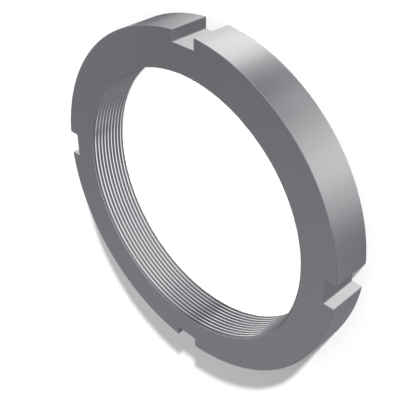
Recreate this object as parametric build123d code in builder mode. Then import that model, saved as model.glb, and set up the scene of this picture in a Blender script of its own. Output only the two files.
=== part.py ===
from build123d import *
import os

# Bearing lock nut: a flat turned ring with an internal metric thread and four
# spanner slots milled across its rim. It lies on its bearing face.
# The origin is the centre of that face and +Z runs along the thread.
# All sizes are in millimetres.

# Driving dimensions
thread_d = 200.0           # nominal diameter of the shaft's thread
thread_pitch = 3.0
ring_wall = 25.0           # from the thread's nominal diameter out to the rim
nut_width = 29.0           # bearing face to outer face
slot_count = 4
slot_width = 18.0          # between the two walls that the spanner's lug drives
slot_depth = 8.0           # from the rim to the flat floor
slot_corner_r = 0.5        # left by the cutter between floor and wall
rim_break = 0.3            # broken edges of the rim and the slots
bore_break = 0.4           # broken edges of the bore

# Standard metric thread form: the nut's crests are cut back by 5/8 of the
# sharp triangle's height on each side of the nominal diameter
sharp_height = thread_pitch * 3**0.5 / 2
minor_d = thread_d - 2 * (5 / 8) * sharp_height
outer_r = thread_d / 2 + ring_wall

with BuildPart() as lock_nut:
    # Turned ring, bored to the crests of its thread
    with BuildSketch(Plane.XY):
        Circle(outer_r)
        Circle(minor_d / 2, mode=Mode.SUBTRACT)
    extrude(amount=nut_width)

    # Spanner slots, milled straight across from face to face
    with BuildSketch(Plane.XY) as slot_plan:
        with PolarLocations(outer_r, slot_count):
            Rectangle(2 * slot_depth, slot_width)
        floor_corners = slot_plan.vertices().group_by(SortBy.DISTANCE)[0]
        fillet(floor_corners, slot_corner_r)
    extrude(amount=nut_width, mode=Mode.SUBTRACT)

    # Broken edges round both faces and along the mouths of the slots
    end_faces = lock_nut.faces().filter_by(Axis.Z)
    rim_edges = [edge for face in end_faces for edge in face.outer_wire().edges()]
    mouth_edges = lock_nut.edges().filter_by(Axis.Z).group_by(SortBy.DISTANCE)[-1]
    chamfer(rim_edges + mouth_edges, rim_break)

    # Broken edges at both ends of the bore
    end_faces = lock_nut.faces().filter_by(Axis.Z)
    bore_edges = [edge for face in end_faces for wire in face.inner_wires() for edge in wire.edges()]
    chamfer(bore_edges, bore_break)

lock_nut.part.label = "lock_nut"

os.makedirs("parts", exist_ok=True)
export_step(lock_nut.part, "parts/lock_nut.step")

print(f"bore diameter {minor_d:.3f}, wall from bore to slot floor {outer_r - slot_depth - minor_d / 2:.3f}")
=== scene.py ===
from math import asin, ceil, cos, hypot, pi, radians, sin, sqrt, tan

import bmesh
import bpy
from mathutils import Matrix, Vector


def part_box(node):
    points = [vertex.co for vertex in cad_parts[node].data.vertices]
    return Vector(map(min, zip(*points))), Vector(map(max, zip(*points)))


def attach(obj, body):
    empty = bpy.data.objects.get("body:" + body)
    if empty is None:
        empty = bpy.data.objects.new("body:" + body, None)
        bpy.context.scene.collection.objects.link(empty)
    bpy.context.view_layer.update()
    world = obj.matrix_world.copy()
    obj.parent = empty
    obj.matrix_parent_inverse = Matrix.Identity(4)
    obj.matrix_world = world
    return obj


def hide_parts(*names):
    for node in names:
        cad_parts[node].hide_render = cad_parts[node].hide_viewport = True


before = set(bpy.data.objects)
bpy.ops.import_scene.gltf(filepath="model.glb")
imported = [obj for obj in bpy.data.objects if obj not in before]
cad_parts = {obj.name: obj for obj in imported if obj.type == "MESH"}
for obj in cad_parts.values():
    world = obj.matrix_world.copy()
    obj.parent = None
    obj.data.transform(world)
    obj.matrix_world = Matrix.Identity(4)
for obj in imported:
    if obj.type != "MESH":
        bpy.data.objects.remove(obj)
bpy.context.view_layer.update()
mm = 0.001  # lengths below are written in millimetres
print("frame loaded")

lockNut = {
    "threadDiameter": 200 * mm,    # nominal, at the bottom of the nut's grooves
    "threadPitch": 3 * mm,
    "crestHeight": 0.875 * mm,     # middle of a crest above the bearing face, at angle 0
    "slotWidth": 18 * mm,
    "slotDepth": 8 * mm,
    "slotCornerRadius": 0.5 * mm,
    "edgeBreak": 0.3 * mm,         # rim and slots
    "boreBreak": 0.25 * mm,        # both ends of the thread
    "stepsPerTurn": 288,
    "flankSteps": 4,
    "cornerSteps": 6,
    "sharpAngle": radians(20),     # edges that turn more than this stay crisp
}
mergeReach = 0.02 * mm   # points closer than this become one
snapReach = 0.002 * mm   # a cut takes in points closer than this
slack = 0.01 * mm        # allowed where faces and edges are picked by their place
angleSlack = radians(1)  # and by how far they turn

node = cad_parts["lock_nut"]
lowCorner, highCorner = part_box("lock_nut")
nutWidth = highCorner.z - lowCorner.z
rimRadius = max(hypot(vert.co.x, vert.co.y) for vert in node.data.vertices)
# a nut's crests stand 5/8 of the sharp thread's height inside the nominal diameter
sharpHeight = sqrt(3) / 2 * lockNut["threadPitch"]
crestRadius = lockNut["threadDiameter"] / 2 - 5 / 8 * sharpHeight


def vertsOf(geometry):
    return [item for item in geometry if isinstance(item, bmesh.types.BMVert)]


def drawLine(bm, points):
    verts = [bm.verts.new(point) for point in points]
    return [bm.edges.new(pair) for pair in zip(verts, verts[1:])]


def cutThread(bm, size, width):
    # one pitch of the standard thread form, drawn upwards from the foot of a crest
    pitch = size["threadPitch"]
    rootRadius = size["threadDiameter"] / 2
    crestFlat, rootFlat = pitch / 4, pitch / 8
    flankRun = (pitch - crestFlat - rootFlat) / 2
    spareTurns = 2  # past each face, cut off below
    foot = size["crestHeight"] - crestFlat / 2 - spareTurns * pitch
    heights = [foot, foot + crestFlat, foot + crestFlat + flankRun, foot + pitch - flankRun, foot + pitch]
    radii = [crestRadius, crestRadius, rootRadius, rootRadius, crestRadius]
    crest, upperFlank, root, lowerFlank = drawLine(bm, [(r, 0, z) for r, z in zip(radii, heights)])
    bmesh.ops.subdivide_edges(bm, edges=[crest], cuts=1)
    bmesh.ops.subdivide_edges(bm, edges=[upperFlank, lowerFlank], cuts=size["flankSteps"] - 1)
    # one right-hand turn, then its copies stacked a pitch apart
    steps = size["stepsPerTurn"]
    profile = bm.verts[:] + bm.edges[:]
    bmesh.ops.spin(bm, geom=profile, cent=(0, 0, 0), axis=(0, 0, 1), angle=2 * pi, steps=steps,
                   dvec=(0, 0, pitch / steps), use_merge=False)
    turn = bm.verts[:] + bm.edges[:] + bm.faces[:]
    for count in range(1, ceil(width / pitch) + spareTurns + 1):
        copied = bmesh.ops.duplicate(bm, geom=turn)["geom"]
        bmesh.ops.translate(bm, verts=vertsOf(copied), vec=(0, 0, count * pitch))
    bmesh.ops.remove_doubles(bm, verts=bm.verts, dist=mergeReach)
    # both faces cut straight through the thread
    cutAt(bm, 0, clearBelow=True)
    cutAt(bm, width, clearAbove=True)
    # the break at each end opens the crests out to the face
    lead = size["boreBreak"]
    cutAt(bm, lead)
    cutAt(bm, width - lead)
    for vert in bm.verts:
        radius = hypot(vert.co.x, vert.co.y)
        opened = crestRadius + lead - min(vert.co.z, width - vert.co.z)
        if opened > radius:
            vert.co.xy *= opened / radius


def cutAt(bm, height, clearBelow=False, clearAbove=False):
    bmesh.ops.bisect_plane(bm, geom=bm.verts[:] + bm.edges[:] + bm.faces[:], dist=snapReach,
                           plane_co=(0, 0, height), plane_no=(0, 0, 1), use_snap_center=True,
                           clear_inner=clearBelow, clear_outer=clearAbove)


def drawSlottedRim(bm, size, radius):
    # half a slot and an eighth of the rim, then mirrored and repeated
    half, corner = size["slotWidth"] / 2, size["slotCornerRadius"]
    floor = radius - size["slotDepth"]
    mouthAngle = asin(half / radius)
    floorLine = drawLine(bm, [(floor, 0, 0), (floor, half - corner, 0)])
    cornerStart = floorLine[-1].verts[1]
    cornerArc = bmesh.ops.spin(bm, geom=[cornerStart], cent=(floor + corner, half - corner, 0),
                               axis=(0, 0, -1), angle=pi / 2, steps=size["cornerSteps"])["geom_last"]
    cornerEnd = vertsOf(cornerArc)[0]
    mouth = bm.verts.new((radius * cos(mouthAngle), half, 0))
    bm.edges.new((cornerEnd, mouth))
    rimAngle = pi / 4 - mouthAngle
    rimSteps = round(rimAngle / (2 * pi) * size["stepsPerTurn"])
    bmesh.ops.spin(bm, geom=[mouth], cent=(0, 0, 0), axis=(0, 0, 1), angle=rimAngle, steps=rimSteps)
    eighth = bm.verts[:] + bm.edges[:]
    bmesh.ops.mirror(bm, geom=eighth, matrix=Matrix.Identity(4), axis="Y", merge_dist=0)
    quarter = bm.verts[:] + bm.edges[:]
    for count in range(1, 4):
        copied = bmesh.ops.duplicate(bm, geom=quarter)["geom"]
        turned = Matrix.Rotation(count * pi / 2, 3, "Z")
        bmesh.ops.rotate(bm, verts=vertsOf(copied), cent=(0, 0, 0), matrix=turned)
    bmesh.ops.remove_doubles(bm, verts=bm.verts, dist=mergeReach)


def flatFaces(bm):
    # the ring's two faces are the only ones with dozens of corners
    return [face for face in bm.faces if len(face.verts) > 40]


def millBody(bm, size, radius, width):
    drawSlottedRim(bm, size, radius)
    bottom = bmesh.ops.contextual_create(bm, geom=bm.edges[:])["faces"]
    lifted = bmesh.ops.extrude_face_region(bm, geom=bottom, use_keep_orig=True)["geom"]
    bmesh.ops.translate(bm, verts=vertsOf(lifted), vec=(0, 0, width))
    # broken edges round both faces and along the mouths of the slots
    mouthEdges = []
    for edge in bm.edges:
        start, end = (vert.co for vert in edge.verts)
        upright = abs(start.z - end.z) > width / 2
        atRim = hypot(start.x, start.y) > radius - slack
        if upright and atRim and edge.calc_face_angle(0) > size["sharpAngle"]:
            mouthEdges.append(edge)
    rimEdges = [edge for face in flatFaces(bm) for edge in face.edges]
    bmesh.ops.bevel(bm, geom=rimEdges + mouthEdges, offset=size["edgeBreak"], offset_type="OFFSET",
                    segments=1, profile=0.5, affect="EDGES", clamp_overlap=True, material=-1)
    bmesh.ops.delete(bm, geom=flatFaces(bm), context="FACES_ONLY")
    # a slot's flat walls and floor end crisply where its rounded corners begin, half a step off
    halfStep = pi / 4 / size["cornerSteps"]
    for edge in bm.edges:
        edge.smooth = abs(edge.calc_face_angle(0) - halfStep) > angleSlack


def finishOf(face, size):
    # where the face's finish stands in the list of materials: turned 0, milled 1, thread 2
    centre = face.calc_center_median()
    radius = hypot(centre.x, centre.y)
    level = abs(face.normal.z) > 0.95  # no part of the thread comes near that
    if radius < size["threadDiameter"] / 2 + slack and not level:
        return 2
    besideAxis = min(abs(centre.x), abs(centre.y)) < size["slotWidth"] / 2 + slack
    return 1 if besideAxis and radius > rimRadius - size["slotDepth"] - slack else 0


def makeLockNut(size):
    thread, body = bmesh.new(), bmesh.new()
    cutThread(thread, size, nutWidth)
    print("thread cut,", len(thread.faces), "faces")
    millBody(body, size, rimRadius, nutWidth)
    print("rim and slots milled,", len(body.faces), "faces")
    mesh = bpy.data.meshes.new("lockNut")
    thread.to_mesh(mesh)
    body.from_mesh(mesh)
    thread.free()
    # both faces are filled between the rim and the thread
    for height, side in ((0, -1), (nutWidth, 1)):
        openEdges = [edge for edge in body.edges if edge.is_boundary
                     and all(abs(vert.co.z - height) < slack for vert in edge.verts)]
        bmesh.ops.triangle_fill(body, edges=openEdges, use_beauty=True, normal=(0, 0, side))
    bmesh.ops.recalc_face_normals(body, faces=body.faces[:])
    openCount = sum(not edge.is_manifold for edge in body.edges)
    print("faces filled,", openCount, "open edges, volume", round(body.calc_volume() / mm**3), "cubic mm")
    for face in body.faces:
        face.smooth = True
        face.material_index = finishOf(face, size)
    for edge in body.edges:
        edge.smooth = edge.smooth and edge.calc_face_angle(0) < size["sharpAngle"]
    body.to_mesh(mesh)
    body.free()
    piece = bpy.data.objects.new("lockNutBody", mesh)
    bpy.context.scene.collection.objects.link(piece)
    return piece


turnedSteel = {
    "light": (0.515, 0.515, 0.535),    # freshly cut tone
    "dark": (0.485, 0.485, 0.505),
    "roughness": (0.15, 0.19),
    "markPitch": 0.45 * mm,            # spacing of the turning marks
    "markHeight": 0.0006 * mm,
}
threadSteel = {
    "light": (0.43, 0.43, 0.45),       # grooves, darker than the faces: painted shade in the grooves
    "dark": (0.40, 0.40, 0.42),
    "roughness": (0.15, 0.19),
    "markPitch": 0.45 * mm,
    "markHeight": 0.0006 * mm,
    "crest": (0.76, 0.76, 0.78),       # crests, brighter: partly rubbed steel, partly a painted highlight along them
    "crestDepth": (0.02 * mm, 0.12 * mm),  # below the crests, where the bright tone starts and ends fading
}
milledSteelPaintedShade = {
    # tones below the turned faces': painted shade in the slots
    "light": (0.462, 0.462, 0.477),
    "dark": (0.437, 0.437, 0.452),
    "roughness": (0.09, 0.12),
    "markPitch": 0.6 * mm,             # spacing of the cutter's marks
    "markHeight": 0.0004 * mm,
    "markLength": 25,                  # how many times longer than apart
}
steelGrain = {                         # shared by all three
    "markDetail": 2.0,
    "patchScale": 28.0,                # soft patches to the metre
    "patchDetail": 3.0,
    "usualNoise": (0.3, 0.7),          # most of the noise lies between these
    "bumpStrength": 0.5,
}


def addNode(tree, kind, inputs=None, **settings):
    made = tree.nodes.new(kind)
    for name, value in settings.items():
        setattr(made, name, value)
    for name, value in (inputs or {}).items():
        socket = made.inputs[name]
        if isinstance(value, bpy.types.NodeSocket):
            tree.links.new(value, socket)
        else:
            socket.default_value = value
    return made


def mixColours(tree, factor, first, second):
    return addNode(tree, "ShaderNodeMix", {"Factor": factor, "A": first, "B": second},
                   data_type="RGBA").outputs["Result"]


def cutSteel(tree, finish, place, across):
    # across counts the tool's marks; with soft patches they vary the tone and the gloss
    scaled = addNode(tree, "ShaderNodeVectorMath", {0: across, "Scale": 1 / finish["markPitch"]},
                     operation="SCALE")
    marks = addNode(tree, "ShaderNodeTexNoise", {"Vector": scaled.outputs[0], "Scale": 1.0,
                                                 "Detail": steelGrain["markDetail"]})
    patches = addNode(tree, "ShaderNodeTexNoise", {"Vector": place, "Scale": steelGrain["patchScale"],
                                                   "Detail": steelGrain["patchDetail"]})
    blend = addNode(tree, "ShaderNodeMath", {0: marks.outputs["Fac"], 1: patches.outputs["Fac"]},
                    operation="ADD")
    mean = addNode(tree, "ShaderNodeMath", {0: blend.outputs[0], 1: 0.5}, operation="MULTIPLY").outputs[0]
    tone = mixColours(tree, mean, (*finish["dark"], 1), (*finish["light"], 1))
    least, most = steelGrain["usualNoise"]
    smooth, rough = finish["roughness"]
    gloss = addNode(tree, "ShaderNodeMapRange", {"Value": mean, "From Min": least, "From Max": most,
                                                 "To Min": smooth, "To Max": rough})
    bump = addNode(tree, "ShaderNodeBump", {"Height": marks.outputs["Fac"],
                                            "Strength": steelGrain["bumpStrength"],
                                            "Distance": finish["markHeight"]})
    return tone, gloss.outputs["Result"], bump.outputs["Normal"]


def steelMaterial(name):
    material = bpy.data.materials.new(name)
    material.use_nodes = True
    tree = material.node_tree
    tree.nodes.clear()
    place = addNode(tree, "ShaderNodeTexCoord").outputs["Object"]
    return material, tree, place


def addSteelShader(tree, tone, gloss, normal):
    shader = addNode(tree, "ShaderNodeBsdfPrincipled", {"Metallic": 1.0, "Base Color": tone,
                                                        "Roughness": gloss, "Normal": normal})
    addNode(tree, "ShaderNodeOutputMaterial", {"Surface": shader.outputs[0]})


def turnedMaterial(name, finish):
    material, tree, place = steelMaterial(name)
    axes = addNode(tree, "ShaderNodeSeparateXYZ", {0: place})
    flat = addNode(tree, "ShaderNodeCombineXYZ", {"X": axes.outputs["X"], "Y": axes.outputs["Y"]})
    radius = addNode(tree, "ShaderNodeVectorMath", {0: flat.outputs[0]}, operation="LENGTH").outputs["Value"]
    # the tool's marks are rings of radius on the faces, and rings of height on the rim and the bore
    rings = addNode(tree, "ShaderNodeCombineXYZ", {"X": radius, "Y": axes.outputs["Z"]})
    tone, gloss, normal = cutSteel(tree, finish, place, rings.outputs[0])
    # the crests get the bright tone, partly rubbed steel and partly a painted highlight
    if "crest" in finish:
        full, none = (crestRadius + depth for depth in finish["crestDepth"])
        crestWearAndHighlight = addNode(tree, "ShaderNodeMapRange", {"Value": radius, "From Min": none, "From Max": full,
                                                      "To Min": 0.0, "To Max": 1.0})
        tone = mixColours(tree, crestWearAndHighlight.outputs["Result"], tone, (*finish["crest"], 1))
    addSteelShader(tree, tone, gloss, normal)
    return material


def milledMaterial(name, finish):
    material, tree, place = steelMaterial(name)
    # the cutter's marks run along the slot, from face to face
    lines = addNode(tree, "ShaderNodeVectorMath", {0: place, 1: (1, 1, 1 / finish["markLength"])},
                    operation="MULTIPLY")
    addSteelShader(tree, *cutSteel(tree, finish, place, lines.outputs[0]))
    return material


nut = makeLockNut(lockNut)
nut.data.materials.append(turnedMaterial("turnedSteel", turnedSteel))
nut.data.materials.append(milledMaterial("milledSteelPaintedShade", milledSteelPaintedShade))
nut.data.materials.append(turnedMaterial("threadSteel", threadSteel))
nut.visible_glossy = False
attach(nut, "root")
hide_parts("lock_nut")
print("lock nut finished")

studio = {
    "floorColour": (0.93, 0.93, 0.93),
    "floorSize": 12.0,
    "backdropSize": (11.6, 4.0),     # diameter and height of the white wall round the floor
    "backdropSides": 96,
    "room": 0.259,                   # even light from all round
    "roomTint": (1.0, 1.0, 1.06),
    "cardTint": (1.0, 1.0, 0.975),   # of the glows and strips
    # azimuth, elevation, inner and outer half angle, strength, which is below 0 for a dark card
    "glows": [
        (30, -65, 1, 39, 0.86),      # five broad ones
        (138, -59, 4, 37, 1.01),
        (58, 52, 11, 63, 0.45),
        (174, 18, 14, 37, 0.28),
        (256, 15, 23, 51, 0.10),
        (119, -39, 1, 15, 0.48),     # for a slot's wall
        (149, -39, 1, 11, 0.14),     # for a slot's floor
        (22, -46, 1, 12, 0.12),      # seven that trim the bands along the rim
        (57, -46, 1, 11, -0.10),
        (78, -45, 1, 9, 0.05),
        (-26, -48, 1, 9, 0.04),
        (162, -41, 1, 9, -0.11),
        (182, -43, 1, 8, 0.05),
        (119, -44, 1, 8, -0.05),
        (199, -28, 1, 11, 0.28),     # six that trim the thread's crests and grooves
        (157, -28, 1, 13, -0.22),
        (-45, 82, 1, 14, -0.10),
        (179, 48, 1, 14, -0.10),
        (249, 18, 1, 12, -0.10),
        (200, 24, 1, 10, 0.10),
        (-62, -50, 12, 36, 0.035),   # for the rim on both sides of the lowest slot
        (-55, -26, 3.2, 7, -0.95),   # keeps the lowest slot's wall dark
        (220, -34, 6, 32, -0.14),    # keeps the upper end of the thread dark
    ],
    # azimuth, inner and outer half width, elevations of the bottom from and to and of the top
    # from and to, strength
    "strips": [
        (-16, 20, 70, -38, -36, -23, -16, 1.03),
        (71, 10, 52, -36, -34, -18, -6, 0.96),
        (178, 33, 41, -36, -35, -17, -6, 0.85),
    ],
    "stripElevation": 28,            # at which a strip's half widths hold
    # kind, azimuth, elevation, distance, width in metres or degrees, energy
    "lamps": [
        ("SUN", 66, 21, 1.0, 3, 5.5),
        ("AREA", 0, 90, 1.5, 1.6, 1.9),
        ("SPOT", 0, 90, 0.6, 21.7, 11.0),  # shines down through the bore
    ],
    "spotSize": 5 * mm,              # small, so that the edge of its light is crisp
}


def direction(azimuth, elevation):
    turn, rise = radians(azimuth), radians(elevation)
    return Vector((cos(rise) * cos(turn), cos(rise) * sin(turn), sin(rise)))


def ramp(tree, value, start, end, strength):
    # rises smoothly from 0 at start to strength at end
    ends = {"Value": value, "From Min": start, "From Max": end, "To Min": 0.0, "To Max": strength}
    return addNode(tree, "ShaderNodeMapRange", ends, interpolation_type="SMOOTHSTEP").outputs[0]


def combine(tree, operation, first, second):
    return addNode(tree, "ShaderNodeMath", {0: first, 1: second}, operation=operation).outputs[0]


def facing(tree, way, azimuth, elevation):
    return addNode(tree, "ShaderNodeVectorMath", {0: way, 1: direction(azimuth, elevation)},
                   operation="DOT_PRODUCT").outputs["Value"]


def band(tree, height, elevations, strength):
    # rises between the first two elevations and falls between the last two
    bottom, full, fading, top = (sin(radians(angle)) for angle in elevations)
    rising = ramp(tree, height, bottom, full, strength)
    falling = ramp(tree, height, top, fading, 1.0)
    return combine(tree, "MULTIPLY", rising, falling)


def makeWorld(look):
    world = bpy.data.worlds.new("studio")
    bpy.context.scene.world = world
    world.use_nodes = True
    tree = world.node_tree
    tree.nodes.clear()
    way = addNode(tree, "ShaderNodeTexCoord").outputs["Generated"]
    height = addNode(tree, "ShaderNodeSeparateXYZ", {0: way}).outputs["Z"]
    total = 0.0
    for azimuth, elevation, inner, outer, strength in look["glows"]:
        towards = facing(tree, way, azimuth, elevation)
        glow = ramp(tree, towards, cos(radians(outer)), cos(radians(inner)), strength)
        total = combine(tree, "ADD", total, glow)
    reach = cos(radians(look["stripElevation"]))
    for azimuth, inner, outer, *elevations, strength in look["strips"]:
        towards = facing(tree, way, azimuth, 0)
        window = ramp(tree, towards, reach * cos(radians(outer)), reach * cos(radians(inner)), 1.0)
        strip = combine(tree, "MULTIPLY", window, band(tree, height, elevations, strength))
        total = combine(tree, "ADD", total, strip)
    cards = addNode(tree, "ShaderNodeBackground", {"Color": (*look["cardTint"], 1), "Strength": total})
    room = addNode(tree, "ShaderNodeBackground", {"Color": (*look["roomTint"], 1), "Strength": look["room"]})
    both = addNode(tree, "ShaderNodeAddShader", {0: cards.outputs[0], 1: room.outputs[0]})
    addNode(tree, "ShaderNodeOutputWorld", {"Surface": both.outputs[0]})


def makeFloor(look):
    bm = bmesh.new()
    bmesh.ops.create_grid(bm, x_segments=1, y_segments=1, size=look["floorSize"] / 2)
    mesh = bpy.data.meshes.new("floor")
    bm.to_mesh(mesh)
    bm.free()
    floor = bpy.data.objects.new("floor", mesh)
    bpy.context.scene.collection.objects.link(floor)
    material = bpy.data.materials.new("floor")
    material.use_nodes = True
    shader = material.node_tree.nodes["Principled BSDF"]
    shader.inputs["Base Color"].default_value = (*look["floorColour"], 1)
    shader.inputs["Roughness"].default_value = 1.0
    shader.inputs["Specular IOR Level"].default_value = 0.0
    mesh.materials.append(material)
    floor.visible_glossy = False


def makeBackdrop(look):
    diameter, height = look["backdropSize"]
    bm = bmesh.new()
    bmesh.ops.create_cone(bm, segments=look["backdropSides"], radius1=diameter / 2, radius2=diameter / 2,
                          depth=height)
    bmesh.ops.translate(bm, verts=bm.verts, vec=(0, 0, height / 2))
    mesh = bpy.data.meshes.new("backdrop")
    bm.to_mesh(mesh)
    bm.free()
    backdrop = bpy.data.objects.new("backdrop", mesh)
    bpy.context.scene.collection.objects.link(backdrop)
    material = bpy.data.materials.new("backdrop")
    material.use_nodes = True
    tree = material.node_tree
    tree.nodes.clear()
    white = addNode(tree, "ShaderNodeEmission", {"Color": (1, 1, 1, 1), "Strength": 1.0})
    addNode(tree, "ShaderNodeOutputMaterial", {"Surface": white.outputs[0]})
    mesh.materials.append(material)
    # it closes the picture behind the floor and takes no part in the light
    backdrop.visible_glossy = False
    backdrop.visible_diffuse = False
    backdrop.visible_shadow = False


def makeLamp(look, aim, kind, azimuth, elevation, distance, width, energy):
    data = bpy.data.lights.new(kind.lower(), kind)
    data.energy = energy
    if kind == "SUN":
        data.angle = radians(width)
    if kind == "AREA":
        data.shape = "DISK"
        data.size = width
    if kind == "SPOT":
        data.spot_size = radians(width)
        data.spot_blend = 0.0
        data.shadow_soft_size = look["spotSize"]
    lamp = bpy.data.objects.new(kind.lower(), data)
    way = direction(azimuth, elevation)
    lamp.location = aim + way * distance
    lamp.rotation_euler = way.to_track_quat("Z", "Y").to_euler()
    # the lamps light the floor; the nut shows the world's light alone
    lamp.visible_camera = False
    lamp.visible_glossy = False
    bpy.context.scene.collection.objects.link(lamp)


view = {
    "fieldOfView": radians(30),
    "distance": 511.04 * mm,
    "right": Vector((1, 0, -1)),
    "up": Vector((-1, 2, -1)),
    "back": Vector((1, 1, 1)),       # from the nut towards the camera
    "sensorWidth": 36,
    "clip": (0.01, 50),
}


def makeCamera(look, aim):
    data = bpy.data.cameras.new("camera")
    data.sensor_width = look["sensorWidth"]
    data.lens = data.sensor_width / 2 / tan(look["fieldOfView"] / 2)
    data.clip_start, data.clip_end = look["clip"]
    camera = bpy.data.objects.new("camera", data)
    right, up, back = (look[name].normalized() for name in ("right", "up", "back"))
    turned = Matrix((right, up, back)).transposed().to_4x4()
    camera.matrix_world = Matrix.Translation(aim + back * look["distance"]) @ turned
    bpy.context.scene.collection.objects.link(camera)
    bpy.context.scene.camera = camera


middle = Vector((0, 0, nutWidth / 2))
makeWorld(studio)
makeFloor(studio)
makeBackdrop(studio)
for lamp in studio["lamps"]:
    makeLamp(studio, middle, *lamp)
makeCamera(view, middle)
bpy.context.scene.view_settings.view_transform = "Standard"
print("studio set")
